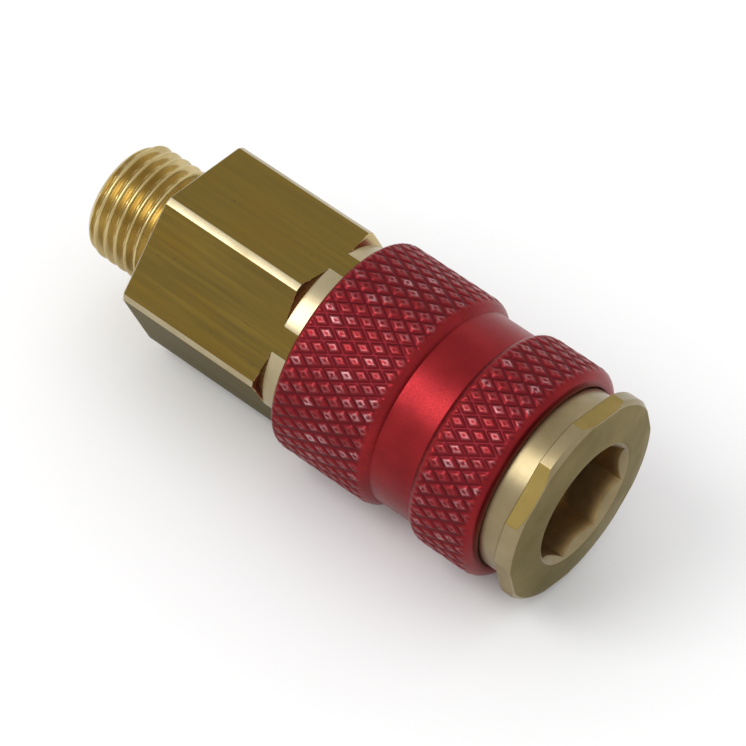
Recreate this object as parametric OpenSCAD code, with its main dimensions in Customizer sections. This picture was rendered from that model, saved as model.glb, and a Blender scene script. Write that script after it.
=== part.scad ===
// Quick disconnect coupler: G1/4 male inlet, hexagon adapter, sprung knurled sleeve,
// six locking balls, self-closing valve and an eight-sided keyed mouth.
// The axis of the coupler is X. The origin is the middle of the shoulder behind the thread.
// The thread points to -X, the mouth to +X, and one hexagon flat faces +Z.

/* [Inlet thread] */
// Outside diameter of the inlet thread
thread_d = 13.157; // [10.9:0.1:16]
// Length of the inlet thread, from its end to the shoulder
thread_length = 9.6; // [7:0.1:14]
// Chamfer on the open end of the thread
thread_chamfer = 0.9; // [0.4:0.1:1.5]
// Diameter of the air passage through the thread
air_bore_d = 8; // [5:0.1:9.6]

/* [Hexagon adapter] */
// Hexagon size across the flats
hex_flats = 20; // [19:0.1:25]
// Distance by which the hexagon's turned corners stand out past its flats
corner_over_flats = 1.3; // [1:0.05:1.6]
// Length of the hexagon, from the shoulder to the end of its full corners
hex_length = 17.3; // [14:0.1:24]
// Length of the cone that ends the hexagon's corners
hex_cone = 0.45; // [0.3:0.05:1]
// Distance by which the turned band stands out past the hexagon's flats
band_over_flats = 0.1; // [0.05:0.05:0.3]
// Length of the turned band that carries the sleeve
band_length = 6.75; // [5:0.25:10]
// Room for the valve's guide behind the gasket
guide_room = 3.9; // [3:0.1:6]

/* [Sleeve] */
// Wall of the sleeve, from the wider of its end bores to the crests of the knurl
sleeve_wall = 1.77; // [1.4:0.01:2.4]
// Depth of the smooth waist below the two knurled bands
waist_depth = 1; // [0.5:0.05:1.4]
// Length of the rear band with its rounded ends
rear_band_length = 12.4; // [9:0.1:15]
// Length of the smooth waist
waist_length = 5.1; // [3:0.1:6]
// Radius of the soft edges on both sides of the waist
soft_round = 1.8; // [1.4:0.1:3]
// Radius of the rounded rear edge
rear_round = 1; // [0.5:0.1:1.3]
// Radius of the rounded front edge
front_round = 1.4; // [0.8:0.1:1.6]
// How far the sleeve pulls back
sleeve_travel = 2.2; // [1.8:0.1:3]
// Length by which the sleeve still laps over the collar when it is pulled back
lap_spare = 0.2; // [0.1:0.1:1]

/* [Socket body] */
// Diameter of the bore that guides the plug
plug_bore_d = 10.6; // [8.8:0.1:12.8]
// Length of the body's rear thread, which screws into the adapter
body_thread_length = 8.5; // [6:0.25:11]
// Step from the barrel down to the rear thread, on the radius
thread_step = 0.6; // [0.3:0.1:0.9]
// Wall of the body around the valve chamber, under its rear thread
chamber_wall = 1.1; // [0.8:0.1:1.5]
// Length of the pale collar in front of the sleeve, from its rear face to the key ring
collar_length = 5.17; // [4.2:0.01:6.5]
// Height of the collar over the sleeve's recess, on the radius
collar_step = 0.66; // [0.5:0.01:1]
// Wall of the collar around the key ring's spigot
collar_wall = 2; // [1.5:0.1:2.6]
// Distance from the middle of the balls to the collar's rear face
ball_to_collar = 5.3; // [4.4:0.1:8]

/* [Locking balls] */
// Number of locking balls that the body holds
ball_count = 6; // [6:1:6]
// Diameter of a locking ball
ball_d = 4; // [3.3:0.05:4.8]
// How far a locked ball reaches into the plug's bore
ball_bite = 0.64; // [0.4:0.01:0.8]
// How far a locked ball stands proud of the barrel
ball_proud = 0.06; // [0.02:0.01:0.08]

/* [Key ring] */
// Distance by which the flange's rim stands out past the collar
flange_over_collar = 1.285; // [1:0.005:1.6]
// Thickness of the flange at the mouth
flange_thickness = 2.35; // [1.9:0.05:3]
// Height of the low cone on the flange's front face
face_cone = 0.5; // [0.2:0.05:0.7]
// Chamfer around the front face
rim_chamfer = 0.4; // [0.2:0.05:0.6]
// Depth of the six flats on the flange's rim
flange_flat_depth = 0.53; // [0.3:0.01:0.7]
// Turn of the flange's flats from the adapter's flats, in degrees
flange_turn = -7; // [-30:1:30]
// Step from the round bore out to the mouth's flats, on the radius
key_step = 0.7; // [0.4:0.05:1]
// Depth of the eight-sided mouth
mouth_depth = 5; // [3:0.1:5.5]
// Turn of the mouth's corners, in degrees
mouth_turn = 31.5; // [0:0.5:45]
// Length of the chamfer around the mouth
mouth_chamfer = 0.7; // [0.5:0.05:0.9]
// Wall of the spigot around the mouth's corners
spigot_wall = 1.48; // [1:0.01:2]

/* [Valve] */
// How far the valve opens
valve_travel = 4; // [3:0.1:5]
// Diameter of the valve's stem
stem_d = 3.8; // [3.1:0.1:4.6]
// Thickness of the valve's head
head_thickness = 2; // [1.5:0.1:3]
// Air gap between the valve's head and the chamber's wall
head_gap = 1; // [0.6:0.1:1.3]
// Air gap between the valve's nose and the seat's hole
nose_gap = 0.6; // [0.4:0.1:1]
// Wall of the valve's nose
nose_wall = 1.1; // [0.8:0.1:1.4]
// Thickness of the valve's rubber seal
seal_thickness = 1.2; // [0.9:0.1:1.6]
// Step from the plug's bore down to the hole in the valve seat, on the radius
seat_step = 0.4; // [0.3:0.05:0.8]
// Number of slots in the valve's nose
slot_count = 4; // [3:1:4]
// Width of a slot in the valve's nose
slot_width = 2.8; // [2:0.1:3.4]

/* [Springs and seals] */
// Wire diameter of the sleeve's spring
sleeve_wire_d = 1.1; // [0.9:0.05:1.35]
// Turns of the sleeve's spring, with its closed ends
sleeve_turns = 4; // [3.5:0.5:5]
// Distance between the turns' closing and the sleeve's full travel
sleeve_spring_spare = 0.868; // [0.4:0.001:3]
// Wire diameter of the valve's spring
valve_wire_d = 0.8; // [0.6:0.05:1]
// Turns of the valve's spring, with its closed ends
valve_turns = 8; // [6:0.5:9]
// Thickness of the washer behind the sleeve's spring
washer_thickness = 0.6; // [0.4:0.1:1]
// Thickness of the thrust ring in front of the sleeve's spring
thrust_thickness = 0.8; // [0.5:0.1:1.2]
// Cord diameter of the O-ring that seals the plug
oring_cord_d = 1.8; // [1.5:0.05:2.2]
// Squeeze of that O-ring on the plug, on the radius
oring_squeeze = 0.15; // [0.1:0.01:0.25]
// Thickness of the gasket between the adapter and the body
gasket_thickness = 0.6; // [0.4:0.1:1]

/* [Clearances] */
// Running clearance of a sliding fit, on the radius
run_gap = 0.08; // [0.03:0.01:0.1]
// Clearance of a screwed joint, on the radius
thread_gap = 0.02; // [0.01:0.01:0.05]
// Clearance between faces that meet across a joint
face_gap = 0.03; // [0.02:0.01:0.05]
// Clearance between the stopped sleeve and the hexagon's cone
stop_gap = 0.15; // [0.05:0.05:0.3]
// Clearance of the sleeve's spring, inside and outside its coils
coil_gap = 0.24; // [0.1:0.01:0.5]
// Clearance of the key ring's bore around the plug, over the body's bore
ring_gap = 0.3; // [0.2:0.05:0.5]
// Clearance of a ball in its hole, on the radius
ball_gap = 0.05; // [0.03:0.01:0.1]
// Clearance between the open valve's nose and the balls
nose_clear = 0.51; // [0.3:0.01:1]

/* [Hidden] */
$fn = 96;

brass = [0.72, 0.60, 0.34];
pale_brass = [0.82, 0.74, 0.54];
red_anodised = [0.62, 0.10, 0.15];
spring_steel = [0.62, 0.63, 0.65];
ball_steel = [0.80, 0.81, 0.83];
seal_rubber = [0.08, 0.08, 0.09];
gasket_fibre = [0.55, 0.30, 0.16];

cut = 1;                                // extra length of every cutting tool
octagon_sides = 8;
hexagon_sides = 6;

// Radii, worked out from the plug's bore outwards.
plug_r = plug_bore_d / 2;
ball_r = ball_d / 2;
ball_seat_r = plug_r - ball_bite + ball_r;
barrel_r = ball_seat_r + ball_r - ball_proud;
ball_lift = ball_bite + 0.02;
land_r = barrel_r + run_gap;
body_thread_r = barrel_r - thread_step;
chamber_r = body_thread_r - chamber_wall;

// The sleeve's cam: a land that holds the balls in, then a cone and a recess that free them.
cam_slope = ball_lift / sleeve_travel + 0.02;
cam_lead = 0.5;                         // length of cone that already stands over a locked ball
land_length = 4;
cam_length = cam_lead + sleeve_travel + 0.3;
recess_r = land_r + cam_slope * cam_length;

ring_bore_r = plug_r + ring_gap;
mouth_r = ring_bore_r + key_step;
mouth_corner_r = mouth_r / cos(180 / octagon_sides);
spigot_r = mouth_corner_r + spigot_wall;
collar_r = max(recess_r + collar_step, spigot_r + collar_wall);
lap_bore_r = collar_r + run_gap;
flange_r = collar_r + flange_over_collar;

sleeve_bore_r = max(hex_flats / 2 + band_over_flats + run_gap,
    barrel_r + sleeve_wire_d + 2 * coil_gap);
band_r = sleeve_bore_r - run_gap;
corner_r = max(hex_flats / 2 + corner_over_flats, band_r);
sleeve_r = max(sleeve_bore_r, lap_bore_r) + sleeve_wall;

// Stations along the axis, worked out from the inlet end to the mouth.
coil_closed = 1.03;                     // length of one closed turn, in wire diameters
band_x = hex_length + hex_cone;
adapter_end_x = band_x + band_length;
body_rear_x = adapter_end_x - body_thread_length;
gasket_x = body_rear_x - gasket_thickness;
ledge_x = gasket_x - guide_room;
washer_x = adapter_end_x;
spring_x = washer_x + washer_thickness;
sleeve_spring_length = sleeve_turns * sleeve_wire_d * coil_closed + sleeve_travel
    + sleeve_spring_spare;
thrust_x = spring_x + sleeve_spring_length;
land_x = thrust_x + thrust_thickness + face_gap;
cam_x = land_x + land_length;
ball_x = cam_x + cam_lead;
collar_x = ball_x + ball_to_collar;
flange_x = collar_x + collar_length;
spigot_length = collar_length - 0.6;
mouth_x = flange_x + flange_thickness;

sleeve_x = band_x + stop_gap + sleeve_travel;
sleeve_end_x = collar_x + sleeve_travel + lap_spare;
waist_x = sleeve_x + rear_band_length;
front_band_x = waist_x + waist_length;
soft_angle = acos(1 - waist_depth / soft_round);
soft_length = soft_round * sin(soft_angle);

// The plug's O-ring stands behind the balls, and the valve seat behind the O-ring.
oring_r = plug_r - oring_squeeze + oring_cord_d / 2;
oring_groove_width = oring_cord_d + 0.06;
ball_hole_r = ball_r + ball_gap;
oring_x = ball_x - ball_hole_r - 1 - oring_groove_width / 2;
plug_stop_x = min(oring_x - oring_groove_width / 2 - 1.6,
    ball_x - ball_r - nose_clear - valve_travel);
seat_x = plug_stop_x - 1.5;
seat_r = plug_r - seat_step;

// The valve closes against the seat from behind.
seal_x = seat_x - face_gap - seal_thickness;
head_x = seal_x - head_thickness;
head_r = chamber_r - head_gap;
nose_r = seat_r - nose_gap;
nose_end_x = plug_stop_x + valve_travel;
boss_length = 1.4;                      // plug on the head that the nose is pressed on
stem_r = stem_d / 2;
guide_thickness = 2;
guide_hub_r = stem_r + 1.1;
guide_hub_length = 1.5;
guide_face_x = ledge_x + guide_thickness;
stem_end_x = ledge_x + 1.5;
guide_r = chamber_r - 0.05;
guide_rim_r = guide_r - 0.9;
guide_hole_d = guide_rim_r - guide_hub_r - 0.55;
guide_holes = 4;
valve_spring_r = stem_r + 2.5;

module along_x(x = 0)
{
    translate([x, 0, 0])
        rotate([90, 0, 90])
            children();
}

module ring(x, length, inner_r, outer_r)
{
    along_x(x)
        rotate_extrude()
            translate([inner_r, 0])
                square([outer_r - inner_r, length]);
}

module turned(points)
{
    along_x()
        rotate_extrude()
            polygon(points);
}

// Points of an arc in the plane of radius and station, angles measured from the radius.
function arc(centre_r, centre_x, r, from, to, steps = 8) =
    [for (i = [0:steps]) let (a = from + (to - from) * i / steps)
        [centre_r + r * cos(a), centre_x + r * sin(a)]];

// Angle of turn t of a spring, and its station: one closed turn at each end, even pitch between.
function coil_station(t, turns, wire, length) =
    let (closed = wire * coil_closed, middle = (length - wire - 2 * closed) / (turns - 2))
    t < 1 ? closed * t
        : t > turns - 1 ? length - wire - closed * (turns - t)
            : closed + middle * (t - 1);

module coil_spring(x, length, coil_r, wire, turns, steps = 20, sides = 8)
{
    rings = round(turns * steps);
    wire_r = wire / 2;
    points = [for (i = [0:rings], s = [0:sides - 1])
        let (t = i / steps, a = 360 * t, b = 360 * s / sides)
        [x + wire_r + coil_station(t, turns, wire, length) + wire_r * sin(b),
            (coil_r + wire_r * cos(b)) * cos(a), (coil_r + wire_r * cos(b)) * sin(a)]];
    walls = [for (i = [0:rings - 1], s = [0:sides - 1])
        let (n = (s + 1) % sides)
        [i * sides + s, (i + 1) * sides + s, (i + 1) * sides + n, i * sides + n]];
    start_cap = [[for (s = [0:sides - 1]) s]];
    end_cap = [[for (s = [sides - 1:-1:0]) rings * sides + s]];
    polyhedron(points, concat(walls, start_cap, end_cap));
}

module inlet_adapter()
{
    thread_r = thread_d / 2;
    color(brass)
        difference()
        {
            union()
            {
                turned([[0, -thread_length], [thread_r - thread_chamfer, -thread_length],
                    [thread_r, -thread_length + thread_chamfer], [thread_r, cut], [0, cut]]);
                intersection()
                {
                    along_x()
                        cylinder(r = hex_flats / 2 / cos(180 / hexagon_sides), h = adapter_end_x,
                            $fn = hexagon_sides);
                    turned([[0, 0], [corner_r, 0], [corner_r, hex_length], [band_r, band_x],
                        [band_r, adapter_end_x], [0, adapter_end_x]]);
                }
            }
            ring(-thread_length - cut, adapter_end_x + thread_length + 2 * cut, 0, air_bore_d / 2);
            ring(ledge_x, adapter_end_x, 0, chamber_r);
            ring(gasket_x, adapter_end_x, 0, body_thread_r + thread_gap);
        }
}

module ball_hole(turn)
{
    lip_top_r = plug_r + 0.3;
    lip_r = sqrt(pow(ball_r, 2) - pow(ball_seat_r - lip_top_r, 2)) + ball_gap;
    translate([ball_x, 0, 0])
        rotate([turn - 90, 0, 0])
        {
            cylinder(r = lip_r, h = barrel_r + cut);
            translate([0, 0, lip_top_r])
                cylinder(r = ball_hole_r, h = barrel_r + cut - lip_top_r);
        }
}

function ball_turn(number) = 90 + 360 * (number - 1) / ball_count;

module socket_body()
{
    color(pale_brass)
        difference()
        {
            turned([[chamber_r, body_rear_x], [body_thread_r, body_rear_x],
                [body_thread_r, adapter_end_x], [barrel_r, adapter_end_x],
                [barrel_r, collar_x], [collar_r, collar_x], [collar_r, flange_x],
                [spigot_r + thread_gap, flange_x],
                [spigot_r + thread_gap, flange_x - spigot_length],
                [plug_r, flange_x - spigot_length], [plug_r, plug_stop_x],
                [seat_r, plug_stop_x], [seat_r, seat_x], [chamber_r, seat_x]]);
            ring(oring_x - oring_groove_width / 2, oring_groove_width, 0,
                oring_r + oring_cord_d / 2 + thread_gap);
            for (number = [1:ball_count])
                ball_hole(ball_turn(number));
        }
}

module key_ring()
{
    flats_r = flange_r - flange_flat_depth;
    face_x = mouth_x - face_cone;
    floor_x = mouth_x - mouth_depth;
    color(pale_brass)
        difference()
        {
            intersection()
            {
                turned([[ring_bore_r, flange_x - spigot_length],
                    [spigot_r, flange_x - spigot_length], [spigot_r, flange_x],
                    [flange_r, flange_x], [flange_r, face_x - rim_chamfer],
                    [flange_r - rim_chamfer, face_x], [mouth_r + mouth_chamfer, mouth_x],
                    [ring_bore_r, mouth_x]]);
                along_x(flange_x - spigot_length - cut)
                    rotate([0, 0, flange_turn])
                        cylinder(r = flats_r / cos(180 / hexagon_sides), h = mouth_x,
                            $fn = hexagon_sides);
            }
            along_x(floor_x)
                rotate([0, 0, mouth_turn])
                    cylinder(r = mouth_corner_r, h = mouth_depth + cut, $fn = octagon_sides);
            turned([[0, mouth_x - mouth_chamfer], [mouth_r, mouth_x - mouth_chamfer],
                [mouth_r + mouth_chamfer, mouth_x], [mouth_r + mouth_chamfer, mouth_x + cut],
                [0, mouth_x + cut]]);
        }
}

module sleeve()
{
    chamfer = 0.4;
    shoulder_x = collar_x - face_gap;
    rear_edge = arc(sleeve_r - rear_round, sleeve_x + rear_round, rear_round, -90, 0);
    rear_soft = arc(sleeve_r - soft_round, waist_x - soft_length, soft_round, 0, soft_angle);
    front_soft = arc(sleeve_r - soft_round, front_band_x + soft_length, soft_round,
        -soft_angle, 0);
    front_edge = arc(sleeve_r - front_round, sleeve_end_x - front_round, front_round, 0, 90);
    color(red_anodised)
        turned(concat(
            [[sleeve_bore_r, sleeve_x + chamfer], [sleeve_bore_r + chamfer, sleeve_x]],
            rear_edge, rear_soft, front_soft, front_edge,
            [[lap_bore_r, sleeve_end_x], [lap_bore_r, shoulder_x], [recess_r, shoulder_x],
                [recess_r, cam_x + cam_length], [land_r, cam_x], [land_r, land_x],
                [sleeve_bore_r, land_x]]));
}

module sleeve_spring()
{
    coil_r = (barrel_r + sleeve_bore_r) / 2;
    color(spring_steel)
        coil_spring(spring_x, sleeve_spring_length, coil_r, sleeve_wire_d, sleeve_turns);
}

module spring_washer()
{
    color(spring_steel)
        ring(washer_x, washer_thickness, barrel_r + run_gap, band_r - run_gap);
}

module thrust_ring()
{
    color(spring_steel)
        ring(thrust_x, thrust_thickness, barrel_r + run_gap, band_r);
}

module locking_ball(number)
{
    turn = ball_turn(number);
    color(ball_steel)
        translate([ball_x, ball_seat_r * cos(turn), ball_seat_r * sin(turn)])
            sphere(r = ball_r);
}

module locking_ball_1() { locking_ball(1); }
module locking_ball_2() { locking_ball(2); }
module locking_ball_3() { locking_ball(3); }
module locking_ball_4() { locking_ball(4); }
module locking_ball_5() { locking_ball(5); }
module locking_ball_6() { locking_ball(6); }

module valve_head()
{
    boss_r = nose_r - nose_wall;
    color(brass)
        turned([[0, stem_end_x], [stem_r - 0.3, stem_end_x], [stem_r, stem_end_x + 0.3],
            [stem_r, head_x], [head_r, head_x], [head_r, seal_x], [boss_r, seal_x],
            [boss_r, seal_x + boss_length], [0, seal_x + boss_length]]);
}

module valve_nose()
{
    slot_x = seal_x + boss_length + 0.4;
    slot_length = nose_end_x - slot_x - 1.2;
    color(pale_brass)
        difference()
        {
            ring(seal_x, nose_end_x - seal_x, nose_r - nose_wall, nose_r);
            for (i = [0:slot_count - 1])
                rotate([360 * i / slot_count, 0, 0])
                    translate([slot_x, -slot_width / 2, 0])
                        cube([slot_length, slot_width, nose_r + cut]);
        }
}

module valve_seal()
{
    color(seal_rubber)
        ring(seal_x, seal_thickness, nose_r, head_r + 0.2);
}

module valve_spring()
{
    color(spring_steel)
        coil_spring(guide_face_x, head_x - guide_face_x, valve_spring_r, valve_wire_d, valve_turns);
}

module valve_guide()
{
    color(brass)
        difference()
        {
            turned([[stem_r + run_gap, ledge_x], [guide_r, ledge_x], [guide_r, gasket_x],
                [guide_rim_r, gasket_x], [guide_rim_r, guide_face_x],
                [guide_hub_r, guide_face_x], [guide_hub_r, guide_face_x + guide_hub_length],
                [stem_r + run_gap, guide_face_x + guide_hub_length]]);
            for (i = [0:guide_holes - 1])
                rotate([45 + 360 * i / guide_holes, 0, 0])
                    translate([0, (guide_hub_r + guide_rim_r) / 2, 0])
                        along_x(ledge_x - cut)
                            cylinder(d = guide_hole_d, h = guide_thickness + 2 * cut, $fn = 32);
        }
}

module plug_oring()
{
    color(seal_rubber)
        along_x(oring_x)
            rotate_extrude()
                translate([oring_r, 0])
                    circle(d = oring_cord_d, $fn = 48);
}

module body_gasket()
{
    color(gasket_fibre)
        ring(gasket_x, gasket_thickness, guide_rim_r, body_thread_r);
}

inlet_adapter();
socket_body();
key_ring();
sleeve();
sleeve_spring();
spring_washer();
thrust_ring();
locking_ball_1();
locking_ball_2();
locking_ball_3();
locking_ball_4();
locking_ball_5();
locking_ball_6();
valve_head();
valve_nose();
valve_seal();
valve_spring();
valve_guide();
plug_oring();
body_gasket();
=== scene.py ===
"""Looks of a quick disconnect air coupler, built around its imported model.

The coupler lies along X: the threaded brass inlet points to -X and the keyed mouth to +X.
Each sub-assembly is a class that holds its sizes in millimetres, builds its meshes as stacks
of rings around the axis, and dresses them. Every finish is a frozen dataclass that makes its
own procedural material.
"""

from __future__ import annotations

import logging
import math
from dataclasses import dataclass, field
from enum import Enum, IntEnum
from functools import partial
from typing import Callable, Iterable

import bmesh
import bpy
import numpy as np
from mathutils import Matrix, Vector

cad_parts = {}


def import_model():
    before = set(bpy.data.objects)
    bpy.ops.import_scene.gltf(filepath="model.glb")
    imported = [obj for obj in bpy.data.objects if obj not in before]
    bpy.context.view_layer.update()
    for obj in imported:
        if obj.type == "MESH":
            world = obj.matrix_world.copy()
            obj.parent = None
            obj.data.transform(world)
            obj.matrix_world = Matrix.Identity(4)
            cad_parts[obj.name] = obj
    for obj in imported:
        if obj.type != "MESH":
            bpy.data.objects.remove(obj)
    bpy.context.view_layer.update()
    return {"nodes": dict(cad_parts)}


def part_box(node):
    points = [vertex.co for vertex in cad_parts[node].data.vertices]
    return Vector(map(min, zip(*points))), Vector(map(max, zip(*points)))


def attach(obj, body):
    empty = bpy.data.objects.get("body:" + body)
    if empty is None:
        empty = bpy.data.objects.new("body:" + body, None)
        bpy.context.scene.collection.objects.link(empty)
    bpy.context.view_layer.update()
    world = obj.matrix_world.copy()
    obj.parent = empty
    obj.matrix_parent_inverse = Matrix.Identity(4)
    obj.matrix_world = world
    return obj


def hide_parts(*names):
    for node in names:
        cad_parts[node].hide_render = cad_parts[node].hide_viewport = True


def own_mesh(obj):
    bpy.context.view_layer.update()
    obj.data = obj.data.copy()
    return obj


MM = 0.001
TURN = 2 * math.pi
HEX_CORNERS = 6
MOUTH_CORNERS = 8
NEAR_EDGE = np.radians([-0.6, -0.3, -0.12, 0.0, 0.12, 0.3, 0.6])
WEAR = "wear"
# Name of the mesh value that holds painted shade in the knurl's valleys and crest hollows.
HOLLOW_SHADE = "depth"

log = logging.getLogger("coupler")

Rgb = tuple[float, float, float]
Array = np.ndarray
Piece = bpy.types.Object
Socket = bpy.types.NodeSocket


class Body(Enum):
    """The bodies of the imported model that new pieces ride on."""

    HOUSING = "coupler_body"
    SLEEVE = "sleeve"


class Slot(Enum):
    """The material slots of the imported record."""

    BRASS = "brass"
    PALE_BRASS = "pale_brass"
    RED = "red_anodised"
    WIRE = "spring_steel"
    BALL = "ball_steel"
    RUBBER = "seal_rubber"
    FIBRE = "gasket_fibre"


class AdapterSkin(IntEnum):
    """The adapter's finishes, by the material index of its faces."""

    DRAWN = 0
    TURNED = 1
    CUT = 2


class RingSkin(IntEnum):
    """The key ring's finishes, by the material index of its faces."""

    TURNED = 0
    MILLED = 1
    KEYED = 2
    FACED = 3


# --------------------------------------------------------------------------- finishes


class Shader:
    """A shorthand for one material's node tree around a Principled shader."""

    def __init__(self, name: str) -> None:
        """Make an empty material with a Principled shader.

        Args:
            name: the material's name.
        """
        self.material = bpy.data.materials.new(name)
        self.material.use_nodes = True
        self.tree = self.material.node_tree
        self.shader = self.tree.nodes["Principled BSDF"]
        self.place = self.add("ShaderNodeTexCoord").outputs["Object"]

    def add(self, kind: str, **settings: object) -> bpy.types.Node:
        """Add a node and set its properties.

        Args:
            kind: the node's type name.
            settings: properties of the node.

        Returns:
            The new node.
        """
        node = self.tree.nodes.new(kind)
        for key, value in settings.items():
            setattr(node, key, value)
        return node

    def join(self, source: Socket, target: Socket) -> None:
        """Link one socket to another."""
        self.tree.links.new(source, target)

    def feed(self, node: bpy.types.Node, socket: int | str, value: object) -> None:
        """Give an input a link or a constant.

        Args:
            node: the node that takes the value.
            socket: the input's name or place.
            value: a socket to link, or a number or colour to set.
        """
        if isinstance(value, Socket):
            self.join(value, node.inputs[socket])
        else:
            node.inputs[socket].default_value = (*value, 1.0) if isinstance(value, tuple) else value

    def math(self, operation: str, a: object, b: object = 0.0, clamp: bool = False) -> Socket:
        """Add one arithmetic step.

        Args:
            operation: the operation's name.
            a: first value or socket.
            b: second value or socket.
            clamp: whether the result stays between 0 and 1.

        Returns:
            The result's socket.
        """
        node = self.add("ShaderNodeMath", operation=operation, use_clamp=clamp)
        self.feed(node, 0, a)
        self.feed(node, 1, b)
        return node.outputs[0]

    def scaled(self, lengthwise: float, across: float) -> Socket:
        """Object coordinates, scaled one way along the axis and another across it.

        Args:
            lengthwise: scale along the axis.
            across: scale across the axis.

        Returns:
            A vector socket.
        """
        node = self.add("ShaderNodeMapping")
        node.inputs["Scale"].default_value = (lengthwise, across, across)
        self.join(self.place, node.inputs["Vector"])
        return node.outputs[0]

    def around(self, scale: float) -> Socket:
        """Coordinates of a lathe, that change along the axis and the radius only.

        Args:
            scale: scale along both.

        Returns:
            A vector socket.
        """
        split = self.add("ShaderNodeSeparateXYZ")
        self.join(self.place, split.inputs[0])
        y2 = self.math("MULTIPLY", split.outputs[1], split.outputs[1])
        z2 = self.math("MULTIPLY", split.outputs[2], split.outputs[2])
        radius = self.math("SQRT", self.math("ADD", y2, z2))
        joined = self.add("ShaderNodeCombineXYZ")
        self.join(self.math("MULTIPLY", split.outputs[0], scale), joined.inputs[0])
        self.join(self.math("MULTIPLY", radius, scale), joined.inputs[1])
        return joined.outputs[0]

    def noise(self, where: Socket, detail: float, roughness: float = 0.55) -> Socket:
        """Fractal noise.

        Args:
            where: the place to sample, already scaled.
            detail: number of octaves.
            roughness: weight of the fine octaves.

        Returns:
            The noise's value socket.
        """
        node = self.add("ShaderNodeTexNoise")
        self.join(where, node.inputs["Vector"])
        node.inputs["Scale"].default_value = 1.0
        node.inputs["Detail"].default_value = detail
        node.inputs["Roughness"].default_value = roughness
        return node.outputs[0]

    def spread(self, value: Socket, low: float, high: float,
               to_low: float = 0.0, to_high: float = 1.0) -> Socket:
        """Map a span of values to another span, clamped.

        Args:
            value: the value to map.
            low: value that maps to the new span's start.
            high: value that maps to the new span's end.
            to_low: the new span's start.
            to_high: the new span's end.

        Returns:
            The mapped value's socket.
        """
        node = self.add("ShaderNodeMapRange")
        for name, number in (("From Min", low), ("From Max", high), ("To Min", to_low), ("To Max", to_high)):
            node.inputs[name].default_value = number
        self.join(value, node.inputs["Value"])
        return node.outputs[0]

    def blend(self, factor: object, a: object, b: object) -> Socket:
        """Mix two colours.

        Args:
            factor: 0 for the first, 1 for the second.
            a: first colour or socket.
            b: second colour or socket.

        Returns:
            The colour's socket.
        """
        node = self.add("ShaderNodeMix", data_type="RGBA")
        for place, value in ((0, factor), (6, a), (7, b)):
            self.feed(node, place, value)
        return node.outputs[2]

    def attribute(self, name: str) -> Socket:
        """A value stored on the mesh."""
        return self.add("ShaderNodeAttribute", attribute_name=name).outputs["Fac"]

    def bump(self, height: Socket, strength: float, distance: float) -> None:
        """Tilt the surface by a height.

        Args:
            height: the height's socket.
            strength: how much of the tilt to use.
            distance: the height's scale in metres.
        """
        node = self.add("ShaderNodeBump")
        node.inputs["Strength"].default_value = strength
        node.inputs["Distance"].default_value = distance
        self.join(height, node.inputs["Height"])
        before = self.shader.inputs["Normal"]
        if before.is_linked:
            self.join(before.links[0].from_socket, node.inputs["Normal"])
        self.join(node.outputs[0], before)

    def set(self, **values: object) -> None:
        """Set the shader's own inputs, with underscores for spaces in their names."""
        for name, value in values.items():
            self.feed(self.shader, name.replace("_", " "), value)


class Finish:
    """What every finish offers: one material, made once and shared."""

    slot: Slot

    def paint(self, shader: Shader) -> None:
        """Build the finish's nodes in a fresh material."""
        raise NotImplementedError

    def material(self) -> bpy.types.Material:
        """The finish's material, made when first asked for.

        Returns:
            The shared material.
        """
        name = type(self).__name__
        if name not in bpy.data.materials:
            shader = Shader(name)
            self.paint(shader)
        return bpy.data.materials[name]


@dataclass(frozen=True)
class DrawnBrass(Finish):
    """Hexagon bar as drawn: olive brass with long faint streaks and small dark pits."""

    slot: Slot = Slot.BRASS
    light: Rgb = (0.190, 0.127, 0.028)
    dark: Rgb = (0.145, 0.100, 0.027)
    rust: Rgb = (0.183, 0.106, 0.018)
    pits: Rgb = (0.10, 0.07, 0.03)
    edge: Rgb = (0.50, 0.52, 0.50)
    roughness: float = 0.33

    def paint(self, shader: Shader) -> None:
        """Long streaks over broad tarnish, with pits.

        Args:
            shader: the fresh material's shader.
        """
        streak = shader.noise(shader.scaled(60, 1500), 5, 0.6)
        cloud = shader.noise(shader.scaled(90, 220), 3)
        tint = shader.blend(shader.spread(streak, 0.32, 0.68), self.dark, self.light)
        tint = shader.blend(shader.spread(cloud, 0.52, 0.74, 0.0, 0.6), tint, self.rust)
        pit = shader.spread(shader.noise(shader.scaled(900, 2600), 2), 0.70, 0.76)
        tint = shader.blend(pit, tint, self.pits)
        rough = shader.spread(streak, 0.3, 0.7, self.roughness - 0.05, self.roughness + 0.07)
        shader.set(Base_Color=tint, Metallic=1.0, Roughness=rough, Specular_Tint=self.edge)
        shader.bump(streak, 0.25, 0.00002)


@dataclass(frozen=True)
class TurnedBrass(Finish):
    """Pale brass off the lathe, with fine tooling lines around the axis."""

    slot: Slot = Slot.PALE_BRASS
    light: Rgb = (0.315, 0.258, 0.150)
    dark: Rgb = (0.235, 0.182, 0.095)
    edge: Rgb = (1.0, 1.0, 1.0)
    roughness: float = 0.30

    def paint(self, shader: Shader) -> None:
        """Tooling lines, with a faint handling haze.

        Args:
            shader: the fresh material's shader.
        """
        line = shader.noise(shader.around(9000), 3, 0.7)
        haze = shader.noise(shader.scaled(180, 180), 4)
        tint = shader.blend(shader.spread(haze, 0.35, 0.7), self.light, self.dark)
        tint = shader.blend(shader.spread(line, 0.45, 0.8, 0.0, 0.35), tint, self.dark)
        rough = shader.spread(haze, 0.3, 0.7, self.roughness - 0.03, self.roughness + 0.08)
        shader.set(Base_Color=tint, Metallic=1.0, Roughness=rough, Specular_Tint=self.edge)
        shader.bump(line, 0.3, 0.000006)


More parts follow.
